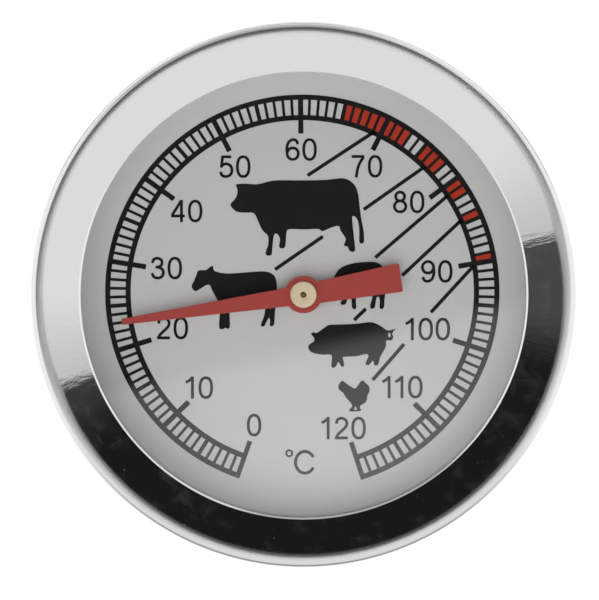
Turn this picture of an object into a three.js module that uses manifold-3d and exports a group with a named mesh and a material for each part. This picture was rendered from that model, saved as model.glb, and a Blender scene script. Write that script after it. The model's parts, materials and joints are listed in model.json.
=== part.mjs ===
// Dial meat thermometer: a round stainless head with a printed dial, on a thin pointed probe stem.
//
// Units are millimetres. Everything turns about the Y axis: the dial faces -Y, the stem runs along
// +Y, and +Z is the top of the dial. The origin is on the stem's axis, in the plane of the case's
// flat back. Depths inside the head are counted back from the bezel's crest.

import * as THREE from "three";
import { mergeVertices } from "three/addons/utils/BufferGeometryUtils.js";
import Module from "manifold-3d";

// ---------------------------------------------------------------- driving dimensions

const HEAD_RADIUS = 26;
const HEAD_DEPTH = 12;
const SHEET = 0.5; // pressed steel of the bezel and the case
const HEAD_SEGMENTS = 48;

const WINDOW_RADIUS = 21.27;
const BAND_SLOPE_DEG = 24; // the bezel's broad band falls towards the window
const SHOULDER_RADIUS = 0.85;
const LIP_FOLD_RADIUS = 0.3;
const LIP_END_DEPTH = 2.2;
const SKIRT_DEPTH = 5.6;
const SKIRT_FOLD_RADIUS = 0.6;
const CRIMP_INNER_RADIUS = 23.7;

const FIT_GAP = 0.04; // between pieces that rest on each other
const GLASS_RADIUS = 25.2;
const GLASS_THICKNESS = 1.5;
const GLASS_BEVEL = 0.2;
const GASKET_INNER_RADIUS = 22.8;
const GASKET_THICKNESS = 0.7;

const CASE_RADIUS = 23;
const CASE_FLANGE_RADIUS = 25.2;
const CASE_FOLD_RADIUS = 0.4;
const CASE_CORNER_RADIUS = 1.6;
const CASE_HOLE_RADIUS = 3.05;
const RECESS_DEPTH = 0.6; // round the collar, so that the case's back is a clear flat ring
const RECESS_RADIUS = 7.4;
const RECESS_SLOPE = 0.6;

const DIAL_RADIUS = 22.3;
const DIAL_THICKNESS = 0.4;
const DIAL_DEPTH = 6.7; // from the crest to the dial's printed face
const DIAL_HOLE_RADIUS = 1.1;
const DIAL_NOTCH_WIDTH = 2;
const DIAL_NOTCH_DEPTH = 0.7;
const SPACER_INNER_RADIUS = 21.55;
const SPACER_OUTER_RADIUS = 22.35;
const SUPPORT_INNER_RADIUS = 19;
const SUPPORT_WALL_RADIUS = 20.9;
const SUPPORT_LEDGE = 0.75;
const SUPPORT_BEVEL = 1.2;
const TAB_SIDE_GAP = 0.15; // round the support ring's tab in the dial's notch

const STEM_RADIUS = 2;
const STEM_LENGTH = 120; // from the case's back to the point
const STEM_WALL = 0.3;
const STEM_SEGMENTS = 32;
const STEM_TOP_Y = -3.9;
const POINT_LENGTH = 7.75;
const POINT_STRAIGHT = 0.8;
const POINT_END_RADIUS = 0.35;
const PLUG_LENGTH = 1.25;
const PLUG_GAP = 0.04; // radial gap of whatever is pressed into the tube

const COLLAR_ACROSS_FLATS = 10;
const COLLAR_FRONT_Y = 0;
const COLLAR_HEX_LENGTH = 4;
const COLLAR_NECK_LENGTH = 3;
const COLLAR_NECK_RADIUS = 3.6;
const COLLAR_NECK_END_RADIUS = 2.5;
const COLLAR_BORE_RADIUS = 2.05;
const COLLAR_EDGE = 0.2;
const SPIGOT_RADIUS = 3;
const SPIGOT_END_Y = -4.2;

const WASHER_BORE_RADIUS = 3.1;
const SEAL_RADIUS = 4.9;
const SEAL_THICKNESS = 0.5;
const FLAT_WASHER_RADIUS = 5.2;
const FLAT_WASHER_THICKNESS = 0.5;
const WAVE_WASHER_RADIUS = 4.9;
const WAVE_WASHER_THICKNESS = 0.25;
const WAVE_HEIGHT = 0.22;
const WAVE_COUNT = 3;
const WAVE_SEGMENTS = 48;
const NUT_ACROSS_FLATS = 8.6;
const NUT_THICKNESS = 1.5;
const NUT_BORE_RADIUS = 3.06;
const HEX_CORNER_CHAMFER = 0.45;
const HEX_TURNED_SEGMENTS = 48;

const SPINDLE_RADIUS = 0.45;
const SPINDLE_NOSE_RADIUS = 0.22;
const SPINDLE_NOSE_LENGTH = 0.43;
const SPINDLE_END_Y = 75.5;
const BUSH_BORE_RADIUS = 0.5; // 0.05 of running clearance on the spindle
const BUSH_LENGTH = 3;
const BUSH_FLANGE_RADIUS = 2.7;
const BUSH_FLANGE_THICKNESS = 0.35;
const LOWER_BUSH_Y = 68;
const ROD_SEGMENTS = 24;

const COIL_MEAN_RADIUS = 1.35;
const COIL_STRIP_THICKNESS = 0.2;
const COIL_STRIP_WIDTH = 1;
const COIL_TURNS = 22;
const COIL_STEPS_PER_TURN = 12;
const COIL_PITCH = 1.5;
const COIL_START_Y = 74;
const COIL_POST_RADIUS = 1.18; // what the strip's ends are wrapped round
const COIL_POST_LENGTH = 2.2;
const ANCHOR_BASE_LENGTH = 2.2;

const POINTER_Y = -7; // the painted face
const POINTER_THICKNESS = 0.3;
const POINTER_LENGTH = 17.7;
const POINTER_TIP_WIDTH = 0.57;
const POINTER_ROOT_WIDTH = 1.8;
const POINTER_BOSS_RADIUS = 1.8;
const TAIL_LENGTH = 9.45;
const TAIL_ROOT_WIDTH = 2.1;
const TAIL_END_WIDTH = 2.77;
const TAIL_CORNER = 0.15;
const HUB_HEAD_RADIUS = 1.27;
const HUB_HEAD_THICKNESS = 0.43;
const HUB_SHANK_RADIUS = 0.8;
const HUB_FLANGE_RADIUS = 1.5;
const HUB_FLANGE_THICKNESS = 0.9;
const HUB_EDGE = 0.1;
const HUB_BORE_RADIUS = 0.47;
const HUB_EYE_RADIUS = 0.28;

const DEGREES_PER_CELSIUS = 2.7;
const TOP_OF_DIAL_CELSIUS = 60;
const REST_READING_CELSIUS = 23.5;

// ---------------------------------------------------------------- geometry helpers

const wasm = await Module();
wasm.setup();

const toRadians = THREE.MathUtils.degToRad;

/** The Y of a depth behind the bezel's crest. */
function atDepth(depth) {
  return depth - HEAD_DEPTH;
}

/** Points [radius, y] of an arc; the angle is 0 along +radius and grows towards +Y. */
function arc(centreRadius, centreY, radius, fromDeg, toDeg, steps) {
  return Array.from({ length: steps + 1 }, (_, i) => {
    const angle = toRadians(fromDeg + ((toDeg - fromDeg) * i) / steps);
    return [centreRadius + radius * Math.cos(angle), centreY + radius * Math.sin(angle)];
  });
}

/** A solid of revolution about Y. A profile that isn't on the axis at both ends is closed on itself. */
function revolve(profile, segments) {
  const points = profile.map(([radius, y]) => new THREE.Vector2(radius, y));
  if (THREE.ShapeUtils.area(points) < 0) points.reverse();
  if (points[0].x > 0 || points.at(-1).x > 0) points.push(points[0].clone());
  return new THREE.LatheGeometry(points, segments);
}

/** A flat ring or a tube between two radii and two Ys. */
function ring(innerRadius, outerRadius, fromY, toY, segments) {
  const profile = [
    [innerRadius, fromY],
    [outerRadius, fromY],
    [outerRadius, toY],
    [innerRadius, toY],
  ];
  return revolve(profile, segments);
}

/** A shape's prism from one Y to another; the shape's x stays x and its y becomes -Z. */
function prism(shape, fromY, toY, curveSegments) {
  const geometry = new THREE.ExtrudeGeometry(shape, {
    depth: toY - fromY,
    bevelEnabled: false,
    curveSegments,
  });
  geometry.rotateX(-Math.PI / 2);
  geometry.translate(0, fromY, 0);
  return geometry;
}

/** A hexagon with two of its flats facing up and down. */
function hexagon(acrossFlats) {
  const cornerRadius = acrossFlats / Math.sqrt(3);
  const corners = Array.from({ length: 6 }, (_, i) => {
    const angle = (i * Math.PI) / 3;
    return new THREE.Vector2(cornerRadius * Math.cos(angle), cornerRadius * Math.sin(angle));
  });
  return new THREE.Shape(corners);
}

function toSolid(geometry) {
  const bare = geometry.index ? geometry.toNonIndexed() : geometry.clone();
  bare.deleteAttribute("normal");
  bare.deleteAttribute("uv");
  const merged = mergeVertices(bare, 1e-4);
  const mesh = new wasm.Mesh({
    numProp: 3,
    vertProperties: merged.attributes.position.array,
    triVerts: new Uint32Array(merged.index.array),
  });
  return new wasm.Manifold(mesh);
}

function toGeometry(solid) {
  const mesh = solid.getMesh();
  const geometry = new THREE.BufferGeometry();
  geometry.setAttribute("position", new THREE.BufferAttribute(mesh.vertProperties, 3));
  geometry.setIndex(new THREE.BufferAttribute(mesh.triVerts, 1));
  return geometry;
}

/** A hexagon prism whose corners are chamfered at both ends, as on a turned nut. */
function nutBlank(acrossFlats, fromY, toY) {
  const cornerRadius = acrossFlats / Math.sqrt(3);
  const faceRadius = cornerRadius - HEX_CORNER_CHAMFER * Math.sqrt(3);
  const clearRadius = cornerRadius * 1.01;
  const turned = revolve(
    [
      [0, fromY],
      [faceRadius, fromY],
      [clearRadius, fromY + HEX_CORNER_CHAMFER],
      [clearRadius, toY - HEX_CORNER_CHAMFER],
      [faceRadius, toY],
      [0, toY],
    ],
    HEX_TURNED_SEGMENTS,
  );
  return toSolid(prism(hexagon(acrossFlats), fromY, toY)).intersect(toSolid(turned));
}

// ---------------------------------------------------------------- head

/** Front ring: a rolled shoulder, a band that slopes in to the window, and a crimped skirt. */
function bezelRing() {
  const slope = toRadians(BAND_SLOPE_DEG);
  const foldDeg = -90 - BAND_SLOPE_DEG;
  const crestRadius = HEAD_RADIUS - SHOULDER_RADIUS;
  const crestY = atDepth(SHOULDER_RADIUS);
  const innerCrest = SHOULDER_RADIUS - SHEET;
  const lipRadius = WINDOW_RADIUS + LIP_FOLD_RADIUS;
  const bandDrop = (crestRadius - lipRadius) * Math.tan(slope);
  const foldRise = (SHOULDER_RADIUS - LIP_FOLD_RADIUS) / Math.cos(slope);
  const lipY = crestY - foldRise + bandDrop;
  const lipOuterRadius = WINDOW_RADIUS + SHEET;
  const innerBandDrop = (crestRadius - lipOuterRadius) * Math.tan(slope);
  const skirtFoldY = atDepth(SKIRT_DEPTH - SKIRT_FOLD_RADIUS);
  return revolve(
    [
      [WINDOW_RADIUS, atDepth(LIP_END_DEPTH)],
      ...arc(lipRadius, lipY, LIP_FOLD_RADIUS, -180, foldDeg, 3),
      ...arc(crestRadius, crestY, SHOULDER_RADIUS, foldDeg, 0, 7),
      ...arc(HEAD_RADIUS - SKIRT_FOLD_RADIUS, skirtFoldY, SKIRT_FOLD_RADIUS, 0, 90, 4),
      [CRIMP_INNER_RADIUS, atDepth(SKIRT_DEPTH)],
      [CRIMP_INNER_RADIUS, atDepth(SKIRT_DEPTH - SHEET)],
      [HEAD_RADIUS - SKIRT_FOLD_RADIUS, atDepth(SKIRT_DEPTH - SHEET)],
      [HEAD_RADIUS - SHEET, skirtFoldY],
      ...arc(crestRadius, crestY, innerCrest, 0, foldDeg, 3),
      [lipOuterRadius, crestY - innerCrest / Math.cos(slope) + innerBandDrop],
      [lipOuterRadius, atDepth(LIP_END_DEPTH)],
    ],
    HEAD_SEGMENTS,
  );
}

const GLASS_FRONT_Y = atDepth(LIP_END_DEPTH) + FIT_GAP;
const GLASS_BACK_Y = GLASS_FRONT_Y + GLASS_THICKNESS;
const GASKET_FRONT_Y = GLASS_BACK_Y + FIT_GAP;
const FLANGE_FRONT_Y = GASKET_FRONT_Y + GASKET_THICKNESS + FIT_GAP;

function windowGlass() {
  return revolve(
    [
      [0, GLASS_FRONT_Y],
      [GLASS_RADIUS - GLASS_BEVEL, GLASS_FRONT_Y],
      [GLASS_RADIUS, GLASS_FRONT_Y + GLASS_BEVEL],
      [GLASS_RADIUS, GLASS_BACK_Y - GLASS_BEVEL],
      [GLASS_RADIUS - GLASS_BEVEL, GLASS_BACK_Y],
      [0, GLASS_BACK_Y],
    ],
    HEAD_SEGMENTS,
  );
}

function windowGasket() {
  const backY = GASKET_FRONT_Y + GASKET_THICKNESS;
  return ring(GASKET_INNER_RADIUS, GLASS_RADIUS, GASKET_FRONT_Y, backY, HEAD_SEGMENTS);
}

/** Drawn cup: a flange that the bezel grips, and a flat back, recessed round the collar's hole. */
function caseCup() {
  const foldY = FLANGE_FRONT_Y + SHEET + CASE_FOLD_RADIUS;
  const foldCentre = CASE_RADIUS + CASE_FOLD_RADIUS;
  const cornerCentre = CASE_RADIUS - CASE_CORNER_RADIUS;
  const sheetShift = SHEET * Math.tan(Math.atan2(RECESS_DEPTH, RECESS_SLOPE) / 2);
  return revolve(
    [
      [CASE_FLANGE_RADIUS, FLANGE_FRONT_Y],
      [CASE_FLANGE_RADIUS, FLANGE_FRONT_Y + SHEET],
      ...arc(foldCentre, foldY, CASE_FOLD_RADIUS, -90, -180, 3),
      ...arc(cornerCentre, -CASE_CORNER_RADIUS, CASE_CORNER_RADIUS, 0, 90, 5),
      [RECESS_RADIUS + RECESS_SLOPE, 0],
      [RECESS_RADIUS, -RECESS_DEPTH],
      [CASE_HOLE_RADIUS, -RECESS_DEPTH],
      [CASE_HOLE_RADIUS, -RECESS_DEPTH - SHEET],
      [RECESS_RADIUS + sheetShift, -RECESS_DEPTH - SHEET],
      [RECESS_RADIUS + RECESS_SLOPE + sheetShift, -SHEET],
      ...arc(cornerCentre, -CASE_CORNER_RADIUS, CASE_CORNER_RADIUS - SHEET, 90, 0, 4),
      ...arc(foldCentre, foldY, CASE_FOLD_RADIUS + SHEET, -180, -90, 3),
    ],
    HEAD_SEGMENTS,
  );
}

/** A block across the foot of the dial, which the notch and the support ring's tab are cut with. */
function footBlock(width, fromRadius, toRadius, fromY, toY) {
  const block = new THREE.BoxGeometry(width, toY - fromY, toRadius - fromRadius);
  block.translate(0, (fromY + toY) / 2, -(fromRadius + toRadius) / 2);
  return toSolid(block);
}

function dialPlate() {
  const frontY = atDepth(DIAL_DEPTH);
  const backY = frontY + DIAL_THICKNESS;
  const disc = toSolid(ring(DIAL_HOLE_RADIUS, DIAL_RADIUS, frontY, backY, HEAD_SEGMENTS));
  const notch = footBlock(
    DIAL_NOTCH_WIDTH,
    DIAL_RADIUS - DIAL_NOTCH_DEPTH,
    DIAL_RADIUS + 1,
    frontY - 1,
    backY + 1,
  );
  return toGeometry(disc.subtract(notch));
}

/** Keeps the dial at its distance behind the glass. */
function dialSpacer() {
  const frontY = GLASS_BACK_Y + FIT_GAP;
  const backY = atDepth(DIAL_DEPTH) - FIT_GAP;
  return ring(SPACER_INNER_RADIUS, SPACER_OUTER_RADIUS, frontY, backY, HEAD_SEGMENTS);
}

/** Carries the dial off the case's back; a tab in the dial's notch stops the dial from turning. */
function dialSupportRing() {
  const frontY = atDepth(DIAL_DEPTH) + DIAL_THICKNESS + FIT_GAP;
  const backY = -SHEET - FIT_GAP;
  const body = revolve(
    [
      [SUPPORT_INNER_RADIUS, frontY],
      [DIAL_RADIUS, frontY],
      [DIAL_RADIUS, backY - SUPPORT_BEVEL],
      [DIAL_RADIUS - SUPPORT_BEVEL, backY],
      [SUPPORT_WALL_RADIUS, backY],
      [SUPPORT_WALL_RADIUS, frontY + SUPPORT_LEDGE],
      [SUPPORT_INNER_RADIUS, frontY + SUPPORT_LEDGE],
    ],
    HEAD_SEGMENTS,
  );
  const tab = footBlock(
    DIAL_NOTCH_WIDTH - 2 * TAB_SIDE_GAP,
    DIAL_RADIUS - DIAL_NOTCH_DEPTH + TAB_SIDE_GAP,
    DIAL_RADIUS - TAB_SIDE_GAP,
    frontY - DIAL_THICKNESS,
    frontY + SUPPORT_LEDGE / 2,
  );
  return toGeometry(toSolid(body).add(tab));
}

// ---------------------------------------------------------------- stem

function stemTube() {
  const endY = STEM_LENGTH - POINT_LENGTH - FIT_GAP;
  return ring(STEM_RADIUS - STEM_WALL, STEM_RADIUS, STEM_TOP_Y, endY, STEM_SEGMENTS);
}

/** Solid point, plugged into the end of the tube. */
function stemTip() {
  const plugRadius = STEM_RADIUS - STEM_WALL - PLUG_GAP;
  const shoulderY = STEM_LENGTH - POINT_LENGTH;
  return revolve(
    [
      [0, shoulderY - PLUG_LENGTH],
      [plugRadius, shoulderY - PLUG_LENGTH],
      [plugRadius, shoulderY],
      [STEM_RADIUS, shoulderY],
      [STEM_RADIUS, shoulderY + POINT_STRAIGHT],
      [POINT_END_RADIUS, STEM_LENGTH - POINT_END_RADIUS],
      [POINT_END_RADIUS / 2, STEM_LENGTH - POINT_END_RADIUS / 4],
      [0, STEM_LENGTH],
    ],
    STEM_SEGMENTS,
  );
}

/** Hexagon that is held while the head is turned, with a spigot through the case's back. */
function hexCollar() {
  const hexEndY = COLLAR_FRONT_Y + COLLAR_HEX_LENGTH;
  const neckEndY = hexEndY + COLLAR_NECK_LENGTH;
  const turned = revolve(
    [
      [0, SPIGOT_END_Y],
      [SPIGOT_RADIUS - COLLAR_EDGE, SPIGOT_END_Y],
      [SPIGOT_RADIUS, SPIGOT_END_Y + COLLAR_EDGE],
      [SPIGOT_RADIUS, COLLAR_FRONT_Y + COLLAR_EDGE],
      [COLLAR_NECK_RADIUS, hexEndY - COLLAR_EDGE],
      [COLLAR_NECK_RADIUS, hexEndY + 2 * COLLAR_EDGE],
      [COLLAR_NECK_END_RADIUS, neckEndY - COLLAR_EDGE],
      [COLLAR_NECK_END_RADIUS - COLLAR_EDGE, neckEndY],
      [0, neckEndY],
    ],
    STEM_SEGMENTS,
  );
  const bore = revolve(
    [
      [0, SPIGOT_END_Y - 1],
      [COLLAR_BORE_RADIUS, SPIGOT_END_Y - 1],
      [COLLAR_BORE_RADIUS, neckEndY + 1],
      [0, neckEndY + 1],
    ],
    STEM_SEGMENTS,
  );
  const blank = nutBlank(COLLAR_ACROSS_FLATS, COLLAR_FRONT_Y, hexEndY).add(toSolid(turned));
  return toGeometry(blank.subtract(toSolid(bore)));
}

function sealWasher() {
  const frontY = -RECESS_DEPTH + FIT_GAP;
  const backY = frontY + SEAL_THICKNESS;
  return ring(WASHER_BORE_RADIUS, SEAL_RADIUS, frontY, backY, STEM_SEGMENTS);
}

const FLAT_WASHER_BACK_Y = -RECESS_DEPTH - SHEET - FIT_GAP;
const FLAT_WASHER_FRONT_Y = FLAT_WASHER_BACK_Y - FLAT_WASHER_THICKNESS;
const WAVE_MIDDLE_Y = FLAT_WASHER_FRONT_Y - FIT_GAP - WAVE_HEIGHT - WAVE_WASHER_THICKNESS / 2;
const NUT_BACK_Y = WAVE_MIDDLE_Y - WAVE_HEIGHT - WAVE_WASHER_THICKNESS / 2 - FIT_GAP;

function flatWasher() {
  return ring(
    WASHER_BORE_RADIUS,
    FLAT_WASHER_RADIUS,
    FLAT_WASHER_FRONT_Y,
    FLAT_WASHER_BACK_Y,
    STEM_SEGMENTS,
  );
}

/** Sprung washer, whose waves press the case against the collar. */
function waveWasher() {
  const half = WAVE_WASHER_THICKNESS / 2;
  const geometry = ring(WASHER_BORE_RADIUS, WAVE_WASHER_RADIUS, -half, half, WAVE_SEGMENTS);
  const position = geometry.attributes.position;
  for (let i = 0; i < position.count; i += 1) {
    const angle = Math.atan2(position.getX(i), position.getZ(i));
    const lift = WAVE_HEIGHT * Math.cos(WAVE_COUNT * angle);
    position.setY(i, position.getY(i) + WAVE_MIDDLE_Y + lift);
  }
  return geometry;
}

function lockNut() {
  const frontY = NUT_BACK_Y - NUT_THICKNESS;
  const bore = revolve(
    [
      [0, frontY - 1],
      [NUT_BORE_RADIUS, frontY - 1],
      [NUT_BORE_RADIUS, NUT_BACK_Y + 1],
      [0, NUT_BACK_Y + 1],
    ],
    STEM_SEGMENTS,
  );
  const blank = nutBlank(NUT_ACROSS_FLATS, frontY, NUT_BACK_Y);
  return toGeometry(blank.subtract(toSolid(bore)));
}

/** Bearing in the top of the tube, with a flange on the end of the spigot. */
function upperBush() {
  const bodyRadius = STEM_RADIUS - STEM_WALL - PLUG_GAP;
  const flangeBackY = SPIGOT_END_Y - FIT_GAP;
  return revolve(
    [
      [BUSH_BORE_RADIUS, flangeBackY - BUSH_FLANGE_THICKNESS],
      [BUSH_FLANGE_RADIUS, flangeBackY - BUSH_FLANGE_THICKNESS],
      [BUSH_FLANGE_RADIUS, flangeBackY],
      [bodyRadius, flangeBackY],
      [bodyRadius, flangeBackY + BUSH_LENGTH],
      [BUSH_BORE_RADIUS, flangeBackY + BUSH_LENGTH],
    ],
    ROD_SEGMENTS,
  );
}

function lowerBush() {
  const bodyRadius = STEM_RADIUS - STEM_WALL - PLUG_GAP;
  const endY = LOWER_BUSH_Y + BUSH_LENGTH;
  return ring(BUSH_BORE_RADIUS, bodyRadius, LOWER_BUSH_Y, endY, ROD_SEGMENTS);
}

/** Helical strip of two bonded metals, which winds tighter as it gets warmer. */
function bimetalCoil() {
  const corners = [
    [1, -1],
    [1, 1],
    [-1, 1],
    [-1, -1],
  ];
  const steps = COIL_TURNS * COIL_STEPS_PER_TURN;
  const positions = [];
  const indices = [];
  for (let step = 0; step <= steps; step += 1) {
    const turn = step / COIL_STEPS_PER_TURN;
    const angle = 2 * Math.PI * turn;
    for (const [radial, axial] of corners) {
      const radius = COIL_MEAN_RADIUS + (radial * COIL_STRIP_THICKNESS) / 2;
      const y = COIL_START_Y + COIL_PITCH * turn + (axial * COIL_STRIP_WIDTH) / 2;
      positions.push(radius * Math.sin(angle), y, radius * Math.cos(angle));
    }
  }
  for (let step = 0; step < steps; step += 1) {
    for (let corner = 0; corner < 4; corner += 1) {
      const next = (corner + 1) % 4;
      const a = 4 * step + corner;
      const b = a + 4;
      const c = 4 * step + next + 4;
      const d = 4 * step + next;
      indices.push(a, b, d, c, d, b);
    }
  }
  const last = 4 * steps;
  indices.push(0, 1, 2, 0, 2, 3);
  indices.push(last, last + 2, last + 1, last, last + 3, last + 2);
  const geometry = new THREE.BufferGeometry();
  geometry.setAttribute("position", new THREE.Float32BufferAttribute(positions, 3));
  geometry.setIndex(indices);
  return geometry;
}

/** Plug that holds the far end of the coil still in the tube. */
function coilAnchor() {
  const plugRadius = STEM_RADIUS - STEM_WALL - PLUG_GAP;
  const baseY = COIL_START_Y + COIL_TURNS * COIL_PITCH + COIL_STRIP_WIDTH / 2 + FIT_GAP;
  return revolve(
    [
      [0, baseY - COIL_POST_LENGTH],
      [COIL_POST_RADIUS, baseY - COIL_POST_LENGTH],
      [COIL_POST_RADIUS, baseY],
      [plugRadius, baseY],
      [plugRadius, baseY + ANCHOR_BASE_LENGTH],
      [0, baseY + ANCHOR_BASE_LENGTH],
    ],
    ROD_SEGMENTS,
  );
}

// ---------------------------------------------------------------- movement

const HUB_FRONT_Y = POINTER_Y - FIT_GAP / 2 - HUB_HEAD_THICKNESS;
const SPINDLE_SHOULDER_Y = HUB_FRONT_Y + SPINDLE_NOSE_LENGTH + FIT_GAP;

/** Sheet-metal hand: a tapered needle, a round boss and a widening tail. */
function pointerPlate() {
  const rootAngle = Math.asin(POINTER_ROOT_WIDTH / 2 / POINTER_BOSS_RADIUS);
  const tailAngle = Math.PI - Math.asin(TAIL_ROOT_WIDTH / 2 / POINTER_BOSS_RADIUS);
  const tipHalf = POINTER_TIP_WIDTH / 2;
  const tailHalf = TAIL_END_WIDTH / 2;
  const outline = new THREE.Shape();
  outline.moveTo(POINTER_LENGTH, -tipHalf);
  outline.lineTo(POINTER_LENGTH, tipHalf);
  outline.absarc(0, 0, POINTER_BOSS_RADIUS, rootAngle, tailAngle, false);
  outline.lineTo(TAIL_CORNER - TAIL_LENGTH, tailHalf);
  outline.lineTo(-TAIL_LENGTH, tailHalf - TAIL_CORNER);
  outline.lineTo(-TAIL_LENGTH, TAIL_CORNER - tailHalf);
  outline.lineTo(TAIL_CORNER - TAIL_LENGTH, -tailHalf);
  outline.absarc(0, 0, POINTER_BOSS_RADIUS, -tailAngle, -rootAngle, false);
  outline.closePath();
  const eye = new THREE.Path();
  eye.absarc(0, 0, HUB_SHANK_RADIUS + FIT_GAP, 0, 2 * Math.PI, true);
  outline.holes.push(eye);
  return prism(outline, POINTER_Y, POINTER_Y + POINTER_THICKNESS, 8);
}

/** Brass rivet that holds the pointer and is pressed on the spindle. */
function pointerHub() {
  const headBackY = HUB_FRONT_Y + HUB_HEAD_THICKNESS;
  const flangeY = POINTER_Y + POINTER_THICKNESS + FIT_GAP / 2;
  const backY = flangeY + HUB_FLANGE_THICKNESS;
  const shoulderY = SPINDLE_SHOULDER_Y - FIT_GAP;
  return revolve(
    [
      [HUB_EYE_RADIUS, HUB_FRONT_Y],
      [HUB_HEAD_RADIUS - HUB_EDGE, HUB_FRONT_Y],
      [HUB_HEAD_RADIUS, HUB_FRONT_Y + HUB_EDGE],
      [HUB_HEAD_RADIUS, headBackY],
      [HUB_SHANK_RADIUS, headBackY],
      [HUB_SHANK_RADIUS, flangeY],
      [HUB_FLANGE_RADIUS, flangeY],
      [HUB_FLANGE_RADIUS, backY],
      [HUB_BORE_RADIUS, backY],
      [HUB_BORE_RADIUS, shoulderY],
      [HUB_EYE_RADIUS, shoulderY],
    ],
    ROD_SEGMENTS,
  );
}

/** Long thin shaft from the coil up to the pointer, with a thinner nose in the hub's eye. */
function spindle() {
  const noseY = SPINDLE_SHOULDER_Y - SPINDLE_NOSE_LENGTH;
  return revolve(
    [
      [0, noseY],
      [SPINDLE_NOSE_RADIUS, noseY],
      [SPINDLE_NOSE_RADIUS, SPINDLE_SHOULDER_Y],
      [SPINDLE_RADIUS, SPINDLE_SHOULDER_Y],
      [SPINDLE_RADIUS, SPINDLE_END_Y],
      [0, SPINDLE_END_Y],
    ],
    ROD_SEGMENTS,
  );
}

/** Sleeve on the spindle that the near end of the coil is welded to. */
function coilCollar() {
  const fromY = COIL_START_Y - COIL_POST_LENGTH / 2;
  const toY = COIL_START_Y + COIL_POST_LENGTH / 2;
  return ring(HUB_BORE_RADIUS, COIL_POST_RADIUS, fromY, toY, ROD_SEGMENTS);
}

// ---------------------------------------------------------------- materials and assembly

function finish(color, roughness, metalness) {
  return new THREE.MeshStandardMaterial({ color, roughness, metalness });
}

const polishedSteel = finish(0xd8d7d4, 0.12, 1);
const satinSteel = finish(0xc9c9c6, 0.35, 1);
const springSteel = finish(0xa9abad, 0.4, 1);
const bimetal = finish(0xb0a58e, 0.45, 1);
const brass = finish(0xc7a56b, 0.35, 1);
const clearGlass = new THREE.MeshStandardMaterial({
  color: 0xf2f6f5,
  roughness: 0.02,
  metalness: 0,
  transparent: true,
  opacity: 0.15,
});
const dialSilver = finish(0xbcbdbd, 0.55, 0.4);
const redPaint = finish(0xb23a2e, 0.5, 0);
const blackRubber = finish(0x1d1d1d, 0.85, 0);
const whitePlastic = finish(0xdedcd6, 0.5, 0);
const blackPlastic = finish(0x202022, 0.6, 0);

function piece(name, geometry, material) {
  const mesh = new THREE.Mesh(geometry, material);
  mesh.name = name;
  return mesh;
}

const head = new THREE.Group();
head.name = "head";
head.add(
  piece("bezel_ring", bezelRing(), polishedSteel),
  piece("window_glass", windowGlass(), clearGlass),
  piece("window_gasket", windowGasket(), blackRubber),
  piece("dial_spacer", dialSpacer(), whitePlastic),
  piece("dial_plate", dialPlate(), dialSilver),
  piece("dial_support_ring", dialSupportRing(), blackPlastic),
  piece("case_cup", caseCup(), satinSteel),
);

const stem = new THREE.Group();
stem.name = "stem";
stem.add(
  piece("stem_tube", stemTube(), polishedSteel),
  piece("stem_tip", stemTip(), polishedSteel),
  piece("hex_collar", hexCollar(), satinSteel),
  piece("seal_washer", sealWasher(), blackRubber),
  piece("flat_washer", flatWasher(), satinSteel),
  piece("wave_washer", waveWasher(), springSteel),
  piece("lock_nut", lockNut(), brass),
  piece("upper_bush", upperBush(), brass),
  piece("lower_bush", lowerBush(), brass),
  piece("bimetal_coil", bimetalCoil(), bimetal),
  piece("coil_anchor", coilAnchor(), brass),
);

// The needle is drawn along +X and turned back from there to its reading at rest.
const movement = new THREE.Group();
movement.name = "movement";
movement.rotation.y = toRadians(
  (REST_READING_CELSIUS - TOP_OF_DIAL_CELSIUS) * DEGREES_PER_CELSIUS - 90,
);
movement.add(
  piece("pointer", pointerPlate(), redPaint),
  piece("pointer_hub", pointerHub(), brass),
  piece("spindle", spindle(), springSteel),
  piece("coil_collar", coilCollar(), brass),
);

const thermometer = new THREE.Group();
thermometer.name = "meat_thermometer";
thermometer.add(head, stem, movement);

export default thermometer;
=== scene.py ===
"""Looks of a dial meat thermometer: round steel head with a printed dial, on a thin pointed stem.

Every piece is drawn in millimetres in the model's own frame (the dial faces -Y, +Z is its top) and
turned into metres when its mesh is made. Outlines on the dial are (x, z) seen from the front.
"""

import json
import math

import bmesh
import bpy
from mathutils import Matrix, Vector
from mathutils.geometry import delaunay_2d_cdt


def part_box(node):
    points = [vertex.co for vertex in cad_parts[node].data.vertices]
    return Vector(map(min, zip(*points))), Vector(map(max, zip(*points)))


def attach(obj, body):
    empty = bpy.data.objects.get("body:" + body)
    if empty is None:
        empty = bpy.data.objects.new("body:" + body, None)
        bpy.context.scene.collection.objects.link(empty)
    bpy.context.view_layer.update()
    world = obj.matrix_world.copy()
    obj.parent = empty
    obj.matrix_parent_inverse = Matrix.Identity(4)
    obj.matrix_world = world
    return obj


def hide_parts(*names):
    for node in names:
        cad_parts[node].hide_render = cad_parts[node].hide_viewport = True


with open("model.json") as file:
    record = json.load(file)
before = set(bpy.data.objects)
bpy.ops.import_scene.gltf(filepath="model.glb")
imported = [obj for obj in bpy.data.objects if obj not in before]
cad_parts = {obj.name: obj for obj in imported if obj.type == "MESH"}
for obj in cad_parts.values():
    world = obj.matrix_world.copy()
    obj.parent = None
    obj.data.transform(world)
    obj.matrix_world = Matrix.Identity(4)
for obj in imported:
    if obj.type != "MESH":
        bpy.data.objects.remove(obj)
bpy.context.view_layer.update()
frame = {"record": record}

MM = 0.001

for name in ("Cube", "Light", "Camera"):
    if name in bpy.data.objects:
        bpy.data.objects.remove(bpy.data.objects[name])

BODY_OF = {node: body for body, nodes in frame["record"]["behaviour"]["bodies"].items() for node in nodes}


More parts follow.
